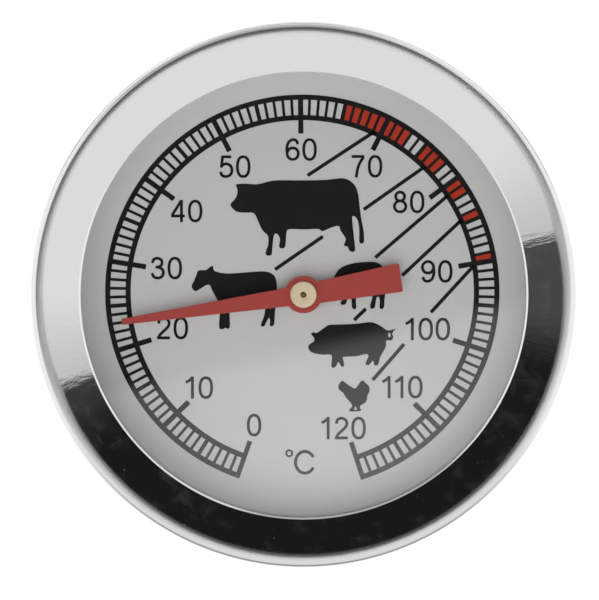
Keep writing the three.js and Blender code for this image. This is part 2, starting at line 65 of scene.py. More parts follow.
def span(node):
    """Front y, back y and radius of a round node, in millimetres."""
    low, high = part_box(node)
    return low.y / MM, high.y / MM, high.x / MM


# -------- outlines and profiles


def turned_about(centre, radius, from_deg, to_deg, steps):
    """Points of an arc; the angle is 0 along the first axis and grows towards the second."""
    points = []
    for step in range(steps + 1):
        angle = math.radians(from_deg + (to_deg - from_deg) * step / steps)
        points.append((centre[0] + radius * math.cos(angle), centre[1] + radius * math.sin(angle)))
    return points


def rounded(profile, closed=True, arc_step_deg=15):
    """Profile of (r, y) points; a third number on a point is the radius its corner is rounded to."""
    points = []
    count = len(profile)
    for index, corner in enumerate(profile):
        at = Vector(corner[:2])
        is_end = not closed and index in (0, count - 1)
        if len(corner) < 3 or is_end:
            points.append(tuple(at))
            continue
        back = Vector(profile[index - 1][:2]) - at
        ahead = Vector(profile[(index + 1) % count][:2]) - at
        opening = back.angle(ahead)
        reach = min(corner[2] / math.tan(opening / 2), 0.49 * back.length, 0.49 * ahead.length)
        radius = reach * math.tan(opening / 2)
        middle = (back.normalized() + ahead.normalized()).normalized()
        centre = at + middle * radius / math.sin(opening / 2)
        first = at + back.normalized() * reach - centre
        last = at + ahead.normalized() * reach - centre
        turn = math.pi - opening
        steps = max(2, round(math.degrees(turn) / arc_step_deg))
        for step in range(steps + 1):
            share = step / steps
            spoke = first * math.sin((1 - share) * turn) + last * math.sin(share * turn)
            points.append(tuple(centre + spoke / math.sin(turn)))
    return points


def smooth_path(points, closed, steps=5):
    """Points of a smooth curve through the given points (Catmull-Rom)."""
    count = len(points)
    spans = count if closed else count - 1
    path = []

    def at(index):
        if closed:
            return Vector(points[index % count])
        if index < 0:
            return 2 * Vector(points[0]) - Vector(points[1])
        if index >= count:
            return 2 * Vector(points[-1]) - Vector(points[-2])
        return Vector(points[index])

    for index in range(spans):
        a, b, c, d = at(index - 1), at(index), at(index + 1), at(index + 2)
        for step in range(steps):
            t = step / steps
            low_terms = 2 * b + (c - a) * t + (2 * a - 5 * b + 4 * c - d) * t**2
            path.append(tuple(0.5 * (low_terms + (3 * b - a - 3 * c + d) * t**3)))
    if not closed:
        path.append(tuple(points[-1]))
    return path


def stroke(path, width, closed=False):
    """The four-sided outlines that together cover a line of some width along a path."""
    points = [Vector(p) for p in path]
    count = len(points)
    sides = []
    for index, point in enumerate(points):
        before = points[index - 1] if closed or index > 0 else point
        after = points[(index + 1) % count] if closed or index < count - 1 else point
        along = (after - before).normalized()
        across = Vector((-along.y, along.x)) * width / 2
        sides.append((point + across, point - across))
    pairs = zip(sides, sides[1:] + sides[:1]) if closed else zip(sides, sides[1:])
    return [[tuple(p) for p in (a[1], b[1], b[0], a[0])] for a, b in pairs]


def bar(start, end, width):
    return stroke([start, end], width)


def ellipse(centre, radius_x, radius_z, from_deg=0, to_deg=360, steps=40, squareness=2.0):
    """Path of an ellipse, or of a squarer oval; the angle is 0 along x and grows towards z."""
    closed = to_deg - from_deg == 360
    points = []
    for step in range(steps if closed else steps + 1):
        angle = math.radians(from_deg + (to_deg - from_deg) * step / steps)
        c, s = math.cos(angle), math.sin(angle)
        x = math.copysign(abs(c) ** (2 / squareness), c)
        z = math.copysign(abs(s) ** (2 / squareness), s)
        points.append((centre[0] + radius_x * x, centre[1] + radius_z * z))
    return points


# -------- solids


def skin(rings, close_loop):
    """Quads over rings of equally many points; with close_loop the last ring joins the first."""
    sides = len(rings[0])
    vertices = [point for ring in rings for point in ring]
    faces = []
    for index in range(len(rings) if close_loop else len(rings) - 1):
        first = index * sides
        second = (index + 1) % len(rings) * sides
        for side in range(sides):
            after = (side + 1) % sides
            faces.append((first + side, first + after, second + after, second + side))
    return vertices, faces


def lathe(profile, segments):
    """A profile of (r, y) turned about the Y axis. One that is off the axis is closed on itself."""
    on_axis = profile[0][0] == 0
    around = [2 * math.pi * side / segments for side in range(segments)]
    rings = [[(r * math.sin(a), y, r * math.cos(a)) for a in around] for r, y in profile if r > 0]
    vertices, faces = skin(rings, close_loop=not on_axis)
    if on_axis:
        for pole, ring_start in ((profile[0], 0), (profile[-1], len(vertices) - segments)):
            tip = len(vertices)
            vertices = vertices + [(0, pole[1], 0)]
            faces += [(ring_start + s, ring_start + (s + 1) % segments, tip) for s in range(segments)]
    return vertices, faces


def turned_solid(profile, segments):
    """A lathed piece without a bore: an open profile of (r, y) points, closed by both its end faces."""
    ends = [(0, profile[0][1]), (0, profile[-1][1])]
    return lathe([ends[0], *rounded(profile, closed=False), ends[1]], segments)


def slab(solids, front_y, back_y, holes=(), edge=0.0):
    """A closed plate over the union of flat (x, z) outlines less the holes, with chamfered edges."""
    points, outlines = [], []
    for outline in [*solids, *holes]:
        if sum(a[0] * b[1] - b[0] * a[1] for a, b in zip(outline, outline[1:] + outline[:1])) < 0:
            outline = outline[::-1]
        outlines.append(list(range(len(points), len(points) + len(outline))))
        points += [Vector(p) for p in outline]
    corners, _, triangles, _, _, sources = delaunay_2d_cdt(points, [], outlines, 1, 1e-5)
    kept = [
        triangle for triangle, source in zip(triangles, sources)
        if source and max(source) < len(solids)
    ]
    rim = {}
    for triangle in kept:
        for a, b in zip(triangle, triangle[1:] + triangle[:1]):
            if (b, a) in rim:
                del rim[(b, a)]
            else:
                rim[(a, b)] = True
    used = sorted({corner for triangle in kept for corner in triangle})
    number = {corner: index for index, corner in enumerate(used)}
    inward = {corner: Vector((0, 0)) for corner in used}
    for a, b in rim:
        along = (corners[b] - corners[a]).normalized()
        for corner in (a, b):
            inward[corner] += Vector((-along.y, along.x))
    moved = {c: corners[c] + (v.normalized() * edge if v.length > 1e-6 else v) for c, v in inward.items()}
    levels = [(front_y, moved), (back_y, moved)]
    if edge > 0:
        flat = {c: corners[c] for c in used}
        levels = [(front_y, moved), (front_y + edge, flat), (back_y - edge, flat), (back_y, moved)]
    size = len(used)
    vertices = [(places[c].x, y, places[c].y) for y, places in levels for c in used]
    last = size * (len(levels) - 1)
    faces = [tuple(number[c] for c in triangle) for triangle in kept]
    faces += [tuple(last + number[c] for c in reversed(triangle)) for triangle in kept]
    for a, b in rim:
        for level in range(len(levels) - 1):
            here = level * size
            behind = here + size
            faces.append((here + number[b], here + number[a], behind + number[a], behind + number[b]))
    return vertices, faces


def show(made):
    bpy.context.scene.collection.objects.link(made)


def piece(name, shape, body, material, node=None, sharp_deg=32):
    """Makes the Blender object of a piece, on its body, standing for its CAD node."""
    vertices, faces = shape
    mesh = bpy.data.meshes.new(name)
    mesh.from_pydata([Vector(v) * MM for v in vertices], [], faces)
    work = bmesh.new()
    work.from_mesh(mesh)
    loose = [v for v in work.verts if not v.link_faces]
    bmesh.ops.delete(work, geom=loose, context="VERTS")
    bmesh.ops.recalc_face_normals(work, faces=work.faces)
    work.to_mesh(mesh)
    work.free()
    mesh.shade_smooth()
    mesh.set_sharp_from_angle(angle=math.radians(sharp_deg))
    mesh.materials.append(material)
    made = bpy.data.objects.new(name, mesh)
    show(made)
    flats = made.modifiers.new("flat_faces_stay_flat", "WEIGHTED_NORMAL")
    flats.keep_sharp = True
    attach(made, body)
    if node:
        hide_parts(node)


def stand_in(node, shape, material, sharp_deg=32):
    piece(node + "_fine", shape, BODY_OF[node], material, node, sharp_deg)


# -------- material building blocks


class Nodes:
    """Short calls for building one node tree."""

    def __init__(self, tree):
        self.tree = tree

    def add(self, kind, *inputs, **settings):
        """A node with its first inputs linked or set in order, and its properties set."""
        node = self.tree.nodes.new(kind)
        for key, value in settings.items():
            setattr(node, key, value)
        for socket, value in zip(node.inputs, inputs):
            self.feed(socket, value)
        return node

    def feed(self, socket, value):
        if isinstance(value, bpy.types.NodeSocket):
            self.tree.links.new(value, socket)
        elif value is not None:
            socket.default_value = value

    def math(self, operation, a, b=None, c=None, clamp=False):
        return self.add("ShaderNodeMath", a, b, c, operation=operation, use_clamp=clamp).outputs[0]

    def plus(self, a, b):
        return self.math("ADD", a, b)

    def times(self, a, b):
        return self.math("MULTIPLY", a, b)

    def step(self, value, low, high):
        """0 below low, 1 above high, smooth between."""
        node = self.add("ShaderNodeMapRange", value, low, high, 0.0, 1.0, interpolation_type="SMOOTHSTEP")
        return node.outputs[0]

    def between(self, value, low, high):
        """A 0 to 1 value stretched to low to high."""
        return self.add("ShaderNodeMapRange", value, 0.0, 1.0, low, high).outputs[0]

    def millimetres(self):
        """The point on the object in millimetres."""
        place = self.add("ShaderNodeTexCoord").outputs["Object"]
        return self.add("ShaderNodeVectorMath", place, (1000, 1000, 1000), operation="MULTIPLY").outputs[0]

    def noise(self, place, size, detail=3.0, roughness=0.5, stretch=(1, 1, 1)):
        """Noise whose grains are about size millimetres, stretched by so much along each axis."""
        scaled = self.add(
            "ShaderNodeVectorMath", place, tuple(1 / (size * s) for s in stretch), operation="MULTIPLY"
        ).outputs[0]
        return self.add(
            "ShaderNodeTexNoise", scaled, None, 1.0, detail, roughness, noise_dimensions="3D"
        ).outputs[0]

    def polar(self, place):
        """Radius from the Y axis, and the direction from the axis as a unit vector."""
        flat = self.add("ShaderNodeVectorMath", place, (1, 0, 1), operation="MULTIPLY").outputs[0]
        radius = self.add("ShaderNodeVectorMath", flat, operation="LENGTH").outputs["Value"]
        spoke = self.add("ShaderNodeVectorMath", flat, operation="NORMALIZE").outputs[0]
        return radius, spoke

    def turned(self, place, size, detail=3.0):
        """Fine rings round the Y axis, as a lathe or a polishing wheel leaves them."""
        radius, _ = self.polar(place)
        along = self.add("ShaderNodeSeparateXYZ", place).outputs[1]
        flat = self.add("ShaderNodeCombineXYZ", radius, along, 0.0).outputs[0]
        return self.noise(flat, size, detail, 0.6)

    def mix(self, share, a, b):
        """A colour between a and b."""
        node = self.add("ShaderNodeMix", data_type="RGBA")
        self.feed(node.inputs[0], share)
        self.feed(node.inputs[6], a)
        self.feed(node.inputs[7], b)
        return node.outputs[2]

    def bump(self, height, depth_mm, under=None):
        """Relief: height 0 to 1 stands for so many millimetres, over another relief."""
        node = self.add("ShaderNodeBump")
        node.inputs["Strength"].default_value = 1.0
        node.inputs["Distance"].default_value = depth_mm * MM
        self.feed(node.inputs["Height"], height)
        if under is not None:
            self.feed(node.inputs["Normal"], under)
        return node.outputs[0]


def surface(nodes, shader, colour, roughness, relief):
    nodes.feed(shader.inputs["Base Color"], colour)
    nodes.feed(shader.inputs["Roughness"], roughness)
    nodes.feed(shader.inputs["Normal"], relief)


def new_material(name):
    made = bpy.data.materials.new(name)
    made.use_nodes = True
    nodes = Nodes(made.node_tree)
    shader = made.node_tree.nodes["Principled BSDF"]
    return made, nodes, shader


def grey(value):
    return (value, value, value, 1.0)


def metal(name, dark, light, rough, line_size, line_depth, grain_depth=0.0, metallic=1.0):
    """Turned or polished metal: fine rings, cloudy colour and roughness, and light wear."""
    made, n, shader = new_material(name)
    place = n.millimetres()
    clouds = n.noise(place, 4.0, 4.0)
    rings = n.turned(place, line_size)
    shader.inputs["Metallic"].default_value = metallic
    shade = n.between(rings, 0.25, 0.75)
    cloudy = n.times(n.plus(shade, clouds), 0.5)
    sheen = n.between(n.noise(place, 1.2, 4.0), rough[0], rough[1])
    relief = n.bump(rings, line_depth)
    if grain_depth:
        relief = n.bump(n.noise(place, 0.12, 2.0), grain_depth, relief)
    surface(n, shader, n.mix(cloudy, dark, light), sheen, relief)
    return made


def moulded(name, dark, light, rough, grain, depth, sheen=0.5):
    """Moulded, printed or sprayed surface: fine grain, slightly uneven colour and sheen."""
    made, n, shader = new_material(name)
    shader.inputs["Specular IOR Level"].default_value = sheen
    place = n.millimetres()
    colour = n.mix(n.noise(place, 2.5, 4.0), dark, light)
    roughness = n.between(n.noise(place, 0.6, 3.0), rough[0], rough[1])
    surface(n, shader, colour, roughness, n.bump(n.noise(place, grain, 3.0), depth))
    return made


CREST_START, CREST_END = 24.5, 25.0  # radii between which the band turns over into the shoulder
RUBBED_START, RUBBED_END = 25.3, 25.55  # radii between which the shoulder gets smoother again
CREST_ROUGHNESS, RUBBED_AWAY = 0.36, 0.2


def bezel_steel():
    """Mirror-polished steel: pressing ripples, fine polishing rings, faint finger marks and some dust."""
    made, n, shader = new_material("polished_steel")
    place = n.millimetres()
    radius, spoke = n.polar(place)
    clouds = n.noise(place, 6.0, 3.0)
    rings = n.turned(place, 0.12, 2.0)
    across = n.add("ShaderNodeVectorMath", spoke, (24, 24, 24), operation="MULTIPLY").outputs[0]
    lift = n.add("ShaderNodeCombineXYZ", 0.0, n.times(radius, 0.2), 0.0).outputs[0]
    streaked = n.add("ShaderNodeVectorMath", across, lift, operation="ADD").outputs[0]
    ripples = n.noise(streaked, 0.5, 3.0, 0.6)
    folded = n.step(radius, CREST_START, CREST_END)
    marks = n.times(n.step(n.noise(place, 2.4, 5.0, 0.65), 0.5, 0.78), 0.035)
    dust = n.times(n.step(n.noise(place, 0.22, 1.0), 0.77, 0.82), 0.25)
    n.feed(shader.inputs["Metallic"], n.math("SUBTRACT", n.math("SUBTRACT", 1.0, marks), dust))
    colour = n.mix(clouds, (0.665, 0.66, 0.65, 1), (0.7, 0.695, 0.685, 1))
    polish = n.between(n.noise(place, 2.0, 5.0), 0.045, 0.075)
    rubbed = n.times(n.step(radius, RUBBED_START, RUBBED_END), RUBBED_AWAY)
    worn = n.math("SUBTRACT", n.times(folded, CREST_ROUGHNESS), rubbed)
    unfolded = n.math("SUBTRACT", 1.0, folded)
    relief = n.bump(n.times(ripples, unfolded), 0.006)
    surface(n, shader, colour, n.plus(polish, worn), n.bump(rings, 0.0002, relief))
    return made


def window_glass():
    """Clear pane: it lets light straight through and mirrors what Fresnel says, from either side."""
    made, n, shader = new_material("clear_glass")
    place = n.millimetres()
    made.node_tree.nodes.remove(shader)
    behind = n.add("ShaderNodeNewGeometry").outputs["Backfacing"]
    index = n.between(behind, 1.5, 1 / 1.5)
    relief = n.bump(n.noise(place, 9.0, 1.0), 0.0004)
    fresnel = n.add("ShaderNodeFresnel", index, relief).outputs[0]
    smears = n.between(n.noise(place, 7.0, 5.0, stretch=(1, 1, 0.4)), 0.0, 0.02)
    mirror = n.add("ShaderNodeBsdfGlossy", (1, 1, 1, 1), smears)
    n.feed(mirror.inputs["Normal"], relief)
    clear = n.add("ShaderNodeBsdfTransparent", (0.985, 0.985, 0.984, 1))
    mixed = n.add("ShaderNodeMixShader", fresnel, clear.outputs[0], mirror.outputs[0])
    out = made.node_tree.nodes["Material Output"]
    made.node_tree.links.new(mixed.outputs[0], out.inputs["Surface"])
    return made


def dial_silver():
    """Satin silver lacquer on sheet: fine metallic grain and faint straight brushing under it."""
    made, n, shader = new_material("dial_silver")
    place = n.millimetres()
    grain = n.noise(place, 0.09, 2.0)
    brushing = n.noise(place, 0.16, 3.0, stretch=(24, 1, 1))
    shade = n.plus(n.times(grain, 0.45), n.times(brushing, 0.55))
    shader.inputs["Metallic"].default_value = 0.35
    roughness = n.between(n.noise(place, 0.5, 3.0), 0.46, 0.56)
    relief = n.bump(grain, 0.001, n.bump(brushing, 0.0006))
    surface(n, shader, n.mix(shade, grey(0.57), grey(0.65)), roughness, relief)
    return made


STEEL = bezel_steel()
SATIN = metal("satin_steel", grey(0.52), grey(0.6), (0.24, 0.36), 0.15, 0.0012, 0.0006)
STEM = metal("stem_steel", grey(0.6), grey(0.68), (0.1, 0.2), 0.1, 0.0008)
BROWNED = metal("browned_steel", (0.3, 0.17, 0.06, 1), (0.42, 0.26, 0.11, 1), (0.3, 0.45), 0.1, 0.001)
SPRING = metal("spring_steel", (0.4, 0.4, 0.42, 1), (0.48, 0.48, 0.5, 1), (0.3, 0.45), 0.2, 0.001)
BIMETAL = metal("bimetal", (0.42, 0.38, 0.3, 1), (0.55, 0.5, 0.42, 1), (0.35, 0.5), 0.1, 0.0006)
BRASS = metal("brass", (0.6, 0.42, 0.19, 1), (0.72, 0.53, 0.27, 1), (0.22, 0.36), 0.12, 0.001)
HUB_BRASS = metal(
    "hub_brass", (0.6, 0.47, 0.29, 1), (0.95, 0.83, 0.62, 1), (0.42, 0.55), 0.14, 0.004, 0.001, 0.5
)
GLASS = window_glass()
SILVER = dial_silver()
INK_BLACK = moulded("dial_ink_black", grey(0.007), (0.011, 0.011, 0.012, 1), (0.45, 0.6), 0.08, 0.001, 0.12)
INK_RED = moulded(
    "dial_ink_red", (0.36, 0.028, 0.01, 1), (0.44, 0.036, 0.014, 1), (0.45, 0.6), 0.08, 0.001, 0.2
)
RED_PAINT = moulded(
    "pointer_red", (0.31, 0.036, 0.027, 1), (0.37, 0.045, 0.034, 1), (0.4, 0.5), 0.12, 0.0012
)
RUBBER = moulded("black_rubber", grey(0.015), grey(0.028), (0.7, 0.85), 0.1, 0.003)
WHITE_PLASTIC = moulded(
    "white_plastic", (0.62, 0.61, 0.58, 1), (0.7, 0.69, 0.66, 1), (0.4, 0.5), 0.15, 0.002
)
BLACK_PLASTIC = moulded("black_plastic", grey(0.016), grey(0.026), (0.45, 0.6), 0.15, 0.002)

# -------- head

HEAD_SEGMENTS = 288
SHEET = 0.5
BAND_SLOPE_DEG = 24
SHOULDER_RADIUS = 0.87
LIP_FOLD_RADIUS = 0.75
LIP_TILT_DEG = 50  # how far the lip's fold goes on turning past the band
SKIRT_FOLD_RADIUS = 0.6
WINDOW_RADIUS = 21.27
LIP_END_DEPTH = 2.2
CRIMP_INNER_RADIUS = 23.7


def bezel_ring():
    front_y, back_y, radius = span("bezel_ring")
    slope = math.radians(BAND_SLOPE_DEG)
    fold_deg = -90 - BAND_SLOPE_DEG
    crest = (radius - SHOULDER_RADIUS, front_y + SHOULDER_RADIUS)
    inner_crest = SHOULDER_RADIUS - SHEET
    lip_radius = WINDOW_RADIUS + LIP_FOLD_RADIUS * math.sin(math.radians(LIP_TILT_DEG))
    lip_y = crest[1] + (crest[0] - lip_radius) * math.tan(slope)
    lip_y -= (SHOULDER_RADIUS - LIP_FOLD_RADIUS) / math.cos(slope)
    inner_lip = WINDOW_RADIUS + SHEET
    inner_y = crest[1] + (crest[0] - inner_lip) * math.tan(slope) - inner_crest / math.cos(slope)
    skirt = (radius - SKIRT_FOLD_RADIUS, back_y - SKIRT_FOLD_RADIUS)
    lip_end_y = front_y + LIP_END_DEPTH
    return lathe(
        [
            (WINDOW_RADIUS, lip_end_y),
            *turned_about((lip_radius, lip_y), LIP_FOLD_RADIUS, -90 - LIP_TILT_DEG, fold_deg, 8),
            *turned_about(crest, SHOULDER_RADIUS, fold_deg, 0, 40),
            *turned_about(skirt, SKIRT_FOLD_RADIUS, 0, 90, 14),
            *rounded(
                [
                    (CRIMP_INNER_RADIUS + 1, back_y),
                    (CRIMP_INNER_RADIUS, back_y, 0.12),
                    (CRIMP_INNER_RADIUS, back_y - SHEET, 0.12),
                    (radius - SHEET, back_y - SHEET, 0.15),
                    (radius - SHEET, back_y - 2 * SHEET),
                ],
                closed=False,
            ),
            *turned_about(crest, inner_crest, 0, fold_deg, 12),
            *rounded([(inner_lip + 1, inner_y - math.tan(slope)), (inner_lip, inner_y, 0.1),
                      (inner_lip, lip_end_y)], closed=False),
        ],
        HEAD_SEGMENTS,
    )


def glass_pane():
    front_y, back_y, radius = span("window_glass")
    bevel, soft = 0.2, 0.05
    return turned_solid(
        [(1, front_y), (radius - bevel, front_y, soft), (radius, front_y + bevel, soft),
         (radius, back_y - bevel, soft), (radius - bevel, back_y, soft), (1, back_y)],
        HEAD_SEGMENTS,
    )


def washer(node, bore, edge, segments):
    """A flat ring as thick and wide as its node, with rounded edges."""
    front_y, back_y, radius = span(node)
    corners = [(bore, front_y, edge), (radius, front_y, edge), (radius, back_y, edge), (bore, back_y, edge)]
    return lathe(rounded(corners), segments)


def case_cup():
    front_y, back_y, flange = span("case_cup")
    wall, fold, corner = 23.0, 0.4, 1.6
    fold_centre = (wall + fold, front_y + SHEET + fold)
    corner_centre = (wall - corner, back_y - corner)
    recess, slope, depth, hole = 7.4, 0.6, 0.6, 3.05
    shift = SHEET * math.tan(math.atan2(depth, slope) / 2)
    return lathe(
        [
            *rounded([(wall + 1.5, front_y), (flange, front_y, 0.12), (flange, front_y + SHEET, 0.12),
                      (wall + 1.5, front_y + SHEET)], closed=False),
            *turned_about(fold_centre, fold, -90, -180, 8),
            *turned_about(corner_centre, corner, 0, 90, 20),
            *rounded(
                [
                    (recess + slope + 3, back_y), (recess + slope, back_y, 0.45),
                    (recess, back_y - depth, 0.35), (hole, back_y - depth, 0.1),
                    (hole, back_y - depth - SHEET, 0.1), (recess + shift, back_y - depth - SHEET, 0.4),
                    (recess + slope + shift, back_y - SHEET, 0.35), (recess + slope + 3, back_y - SHEET),
                ],
                closed=False,
            ),
            *turned_about(corner_centre, corner - SHEET, 90, 0, 14),
            *turned_about(fold_centre, fold + SHEET, -180, -90, 8),
        ],
        HEAD_SEGMENTS,
    )


def dial_plate():
    front_y, back_y, radius = span("dial_plate")
    hole, notch_half, notch_depth = 1.1, 1.0, 0.7
    start = math.degrees(math.asin(notch_half / radius))
    rim = turned_about((0, 0), radius, -90 + start, 270 - start, 300)
    outline = rim + [(-notch_half, notch_depth - radius), (notch_half, notch_depth - radius)]
    return slab([outline], front_y, back_y, [turned_about((0, 0), hole, 0, 352.5, 47)], edge=0.04)


def dial_support():
    front_y, back_y, radius = span("dial_support_ring")
    ledge_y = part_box("dial_plate")[1].y / MM + 0.04
    inner, wall, ledge, bevel = 19.0, 20.9, 0.75, 1.2
    return lathe(
        rounded(
            [
                (inner, ledge_y, 0.15), (radius, ledge_y, 0.15), (radius, back_y - bevel, 0.2),
                (radius - bevel, back_y, 0.2), (wall, back_y, 0.15), (wall, ledge_y + ledge, 0.2),
                (inner, ledge_y + ledge, 0.15),
            ]
        ),
        192,
    )


stand_in("bezel_ring", bezel_ring(), STEEL)
stand_in("window_glass", glass_pane(), GLASS)
stand_in("window_gasket", washer("window_gasket", 22.8, 0.12, 192), RUBBER)
stand_in("dial_spacer", washer("dial_spacer", 21.55, 0.1, 192), WHITE_PLASTIC)
stand_in("dial_plate", dial_plate(), SILVER)
stand_in("dial_support_ring", dial_support(), BLACK_PLASTIC)
stand_in("case_cup", case_cup(), SATIN)

# -------- print on the dial

DIAL_FRONT_Y = span("dial_plate")[0]
INK_THICKNESS = 0.02
RED_INK_THICKNESS = 0.012
INK_SINK = 0.004  # each print's back lies this far inside the plate's face
REGISTER = Vector((-0.14, 0.3))  # how far the print sits off the head's axis

DEGREES_PER_CELSIUS = 2.7
TOP_CELSIUS = 60
LAST_CELSIUS = 120
RING_WIDTH = 0.5
OUTER_RING_RADIUS = 19.04
INNER_RING_RADIUS = 16.57
LONG_TICK_RADIUS = 15.28
END_TICK_WIDTH = 0.46
TEN_TICK_WIDTH = 0.5
FIVE_TICK_WIDTH = 0.39
TICK_WIDTH = 0.28
TICK_SINK = 0.1  # how far a tick's ends run into the rings' lines
SCALE_CENTRE = (0.036, -0.02)
# The scale runs a little unevenly: how far each ten-degree line sits clockwise of an even spacing.
TEN_SHIFT_DEG = (1.34, 0.88, 0.37, 0.06, -0.2, -0.38, -0.52, -0.52, -0.38, -0.28, -0.17, -0.08, 0.0)
RED_RANGES = ((65, 73), (75, 78), (80, 82), (84, 85), (89, 90))


def on_scale(celsius, radius):
    """The point of the dial at a temperature and a radius."""
    ten = min(int(celsius // 10), len(TEN_SHIFT_DEG) - 2)
    here, after = TEN_SHIFT_DEG[ten:ten + 2]
    shift = here + (after - here) * (celsius / 10 - ten)
    angle = math.radians((celsius - TOP_CELSIUS) * DEGREES_PER_CELSIUS + shift)
    return SCALE_CENTRE[0] + radius * math.sin(angle), SCALE_CENTRE[1] + radius * math.cos(angle)


def scale_outlines():
    """Two rings with a ladder of ticks between them."""
    outlines = []
    for inner in (INNER_RING_RADIUS, OUTER_RING_RADIUS - RING_WIDTH):
        middle = inner + RING_WIDTH / 2
        path = [on_scale(third / 3, middle) for third in range(3 * LAST_CELSIUS + 1)]
        outlines += stroke(path, RING_WIDTH)
    for celsius in range(LAST_CELSIUS + 1):
        inner, width = INNER_RING_RADIUS + TICK_SINK, TICK_WIDTH
        if celsius in (0, LAST_CELSIUS):
            inner, width = LONG_TICK_RADIUS, END_TICK_WIDTH
        elif celsius % 10 == 0:
            inner, width = LONG_TICK_RADIUS, TEN_TICK_WIDTH
        elif celsius % 5 == 0:
            width = FIVE_TICK_WIDTH
        outer = OUTER_RING_RADIUS if celsius in (0, LAST_CELSIUS) else OUTER_RING_RADIUS - TICK_SINK
        outlines += bar(on_scale(celsius, inner), on_scale(celsius, outer), width)
    return outlines


def red_outlines():
    """The filled ranges, each a wide line that ends in the middle of both rings' lines."""
    outlines = []
    steps = 24
    middle = (INNER_RING_RADIUS + OUTER_RING_RADIUS) / 2
    for first, last in RED_RANGES:
        path = [on_scale(first + (last - first) * s / steps, middle) for s in range(steps + 1)]
        outlines += stroke(path, OUTER_RING_RADIUS - INNER_RING_RADIUS - RING_WIDTH)
    return outlines


# Figures are drawn in a box FIGURE_BOX wide and 1 high, with a pen PEN wide.
PEN = 0.13
FIGURE_BOX = 0.64
FIGURE_ADVANCE = 0.766
ADVANCE_AFTER_ONE = {"0": 0.68, "1": 0.58, "2": 0.68}  # a 1 is narrow, so what follows it stands closer
FIGURE_STROKES = {
    "0": [ellipse((0.32, 0.5), 0.262, 0.445, squareness=2.3)],
    "1": [[(0.4, 0), (0.4, 1)],
          smooth_path([(0.1, 0.735), (0.25, 0.815), (0.4, 0.95)], False)],
    "2": [smooth_path([(0.085, 0.7), (0.14, 0.87), (0.315, 0.945), (0.5, 0.87), (0.56, 0.71),
                       (0.5, 0.545), (0.33, 0.375), (0.16, 0.21), (0.085, 0.06)], False),
          [(0.02, 0.059), (0.6, 0.059)]],
    "3": [smooth_path([(0.075, 0.73), (0.14, 0.885), (0.3, 0.945), (0.46, 0.885), (0.515, 0.745),
                       (0.45, 0.6), (0.31, 0.545), (0.22, 0.54)], False),
          smooth_path([(0.22, 0.54), (0.32, 0.54), (0.5, 0.47), (0.575, 0.3), (0.5, 0.12), (0.315, 0.055),
                       (0.13, 0.125), (0.065, 0.28)], False)],
    "4": [[(0.47, 0), (0.47, 1)], [(0.46, 0.97), (0.05, 0.31)], [(0.0, 0.28), (0.62, 0.28)]],
    "5": [[(0.14, 0.941), (0.55, 0.941)], [(0.165, 0.99), (0.1, 0.45)],
          smooth_path([(0.09, 0.49), (0.19, 0.59), (0.34, 0.625), (0.51, 0.54), (0.58, 0.345), (0.51, 0.14),
                       (0.31, 0.055), (0.13, 0.115), (0.065, 0.265)], False)],
    "6": [ellipse((0.33, 0.315), 0.25, 0.26),
          smooth_path([(0.56, 0.745), (0.5, 0.89), (0.35, 0.945), (0.17, 0.86), (0.08, 0.66), (0.065, 0.45),
                       (0.08, 0.31)], False)],
    "7": [[(0.03, 0.941), (0.6, 0.941)],
          smooth_path([(0.585, 0.93), (0.43, 0.71), (0.31, 0.42), (0.235, 0)], False)],
    "8": [ellipse((0.32, 0.745), 0.2, 0.2), ellipse((0.32, 0.3), 0.257, 0.245)],
}
FIGURE_STROKES["9"] = [[(FIGURE_BOX - x, 1 - z) for x, z in path] for path in FIGURE_STROKES["6"]]
ROUND_STROKES = {"0": 1, "6": 1, "8": 2, "9": 1}  # how many of a figure's first strokes are closed

FIGURE_HEIGHT = 2.15
NUMERAL_CENTRES = {
    0: (-4.62, -12.9), 10: (-9.93, -9.28), 20: (-12.49, -3.53), 30: (-13.09, 2.26), 40: (-11.13, 7.77),
    50: (-6.48, 12.06), 60: (-0.08, 13.71), 70: (6.28, 12.09), 80: (10.31, 8.65), 90: (13.02, 1.94),
    100: (12.13, -3.63), 110: (9.68, -9.23), 120: (4.0, -13.19),
}
UNIT_HEIGHT = 2.4
UNIT_BOX = ((-0.77, -17.69), 2.12)
UNIT_PEN = 0.3
DEGREE_CIRCLE = ((-1.23, -15.62), 0.29, 0.19)


def numeral_outlines():
    outlines = []
    for value, centre in NUMERAL_CENTRES.items():
        figures = []
        start = 0.0
        before = ""
        for figure in str(value):
            if before:
                start += ADVANCE_AFTER_ONE[figure] if before == "1" else FIGURE_ADVANCE
            before = figure
            for index, path in enumerate(FIGURE_STROKES[figure]):
                closed = index < ROUND_STROKES.get(figure, 0)
                figures += stroke([(x + start, z) for x, z in path], PEN, closed)
        lowest = min(x for quad in figures for x, _ in quad)
        highest = max(x for quad in figures for x, _ in quad)
        middle = (lowest + highest) / 2
        corner = Vector(centre) - Vector((middle, 0.5)) * FIGURE_HEIGHT
        outlines += [[tuple(corner + Vector(p) * FIGURE_HEIGHT) for p in quad] for quad in figures]
    return outlines


def unit_outlines():
    """The degree circle and the C."""
    centre, radius, width = DEGREE_CIRCLE
    outlines = stroke(ellipse(centre, radius, radius, steps=28), width, closed=True)
    (left, foot), wide = UNIT_BOX
    middle = (left + wide / 2, foot + UNIT_HEIGHT / 2)
    path = ellipse(middle, (wide - UNIT_PEN) / 2, (UNIT_HEIGHT - UNIT_PEN) / 2, 28, 332, 48)
    return outlines + stroke(path, UNIT_PEN)


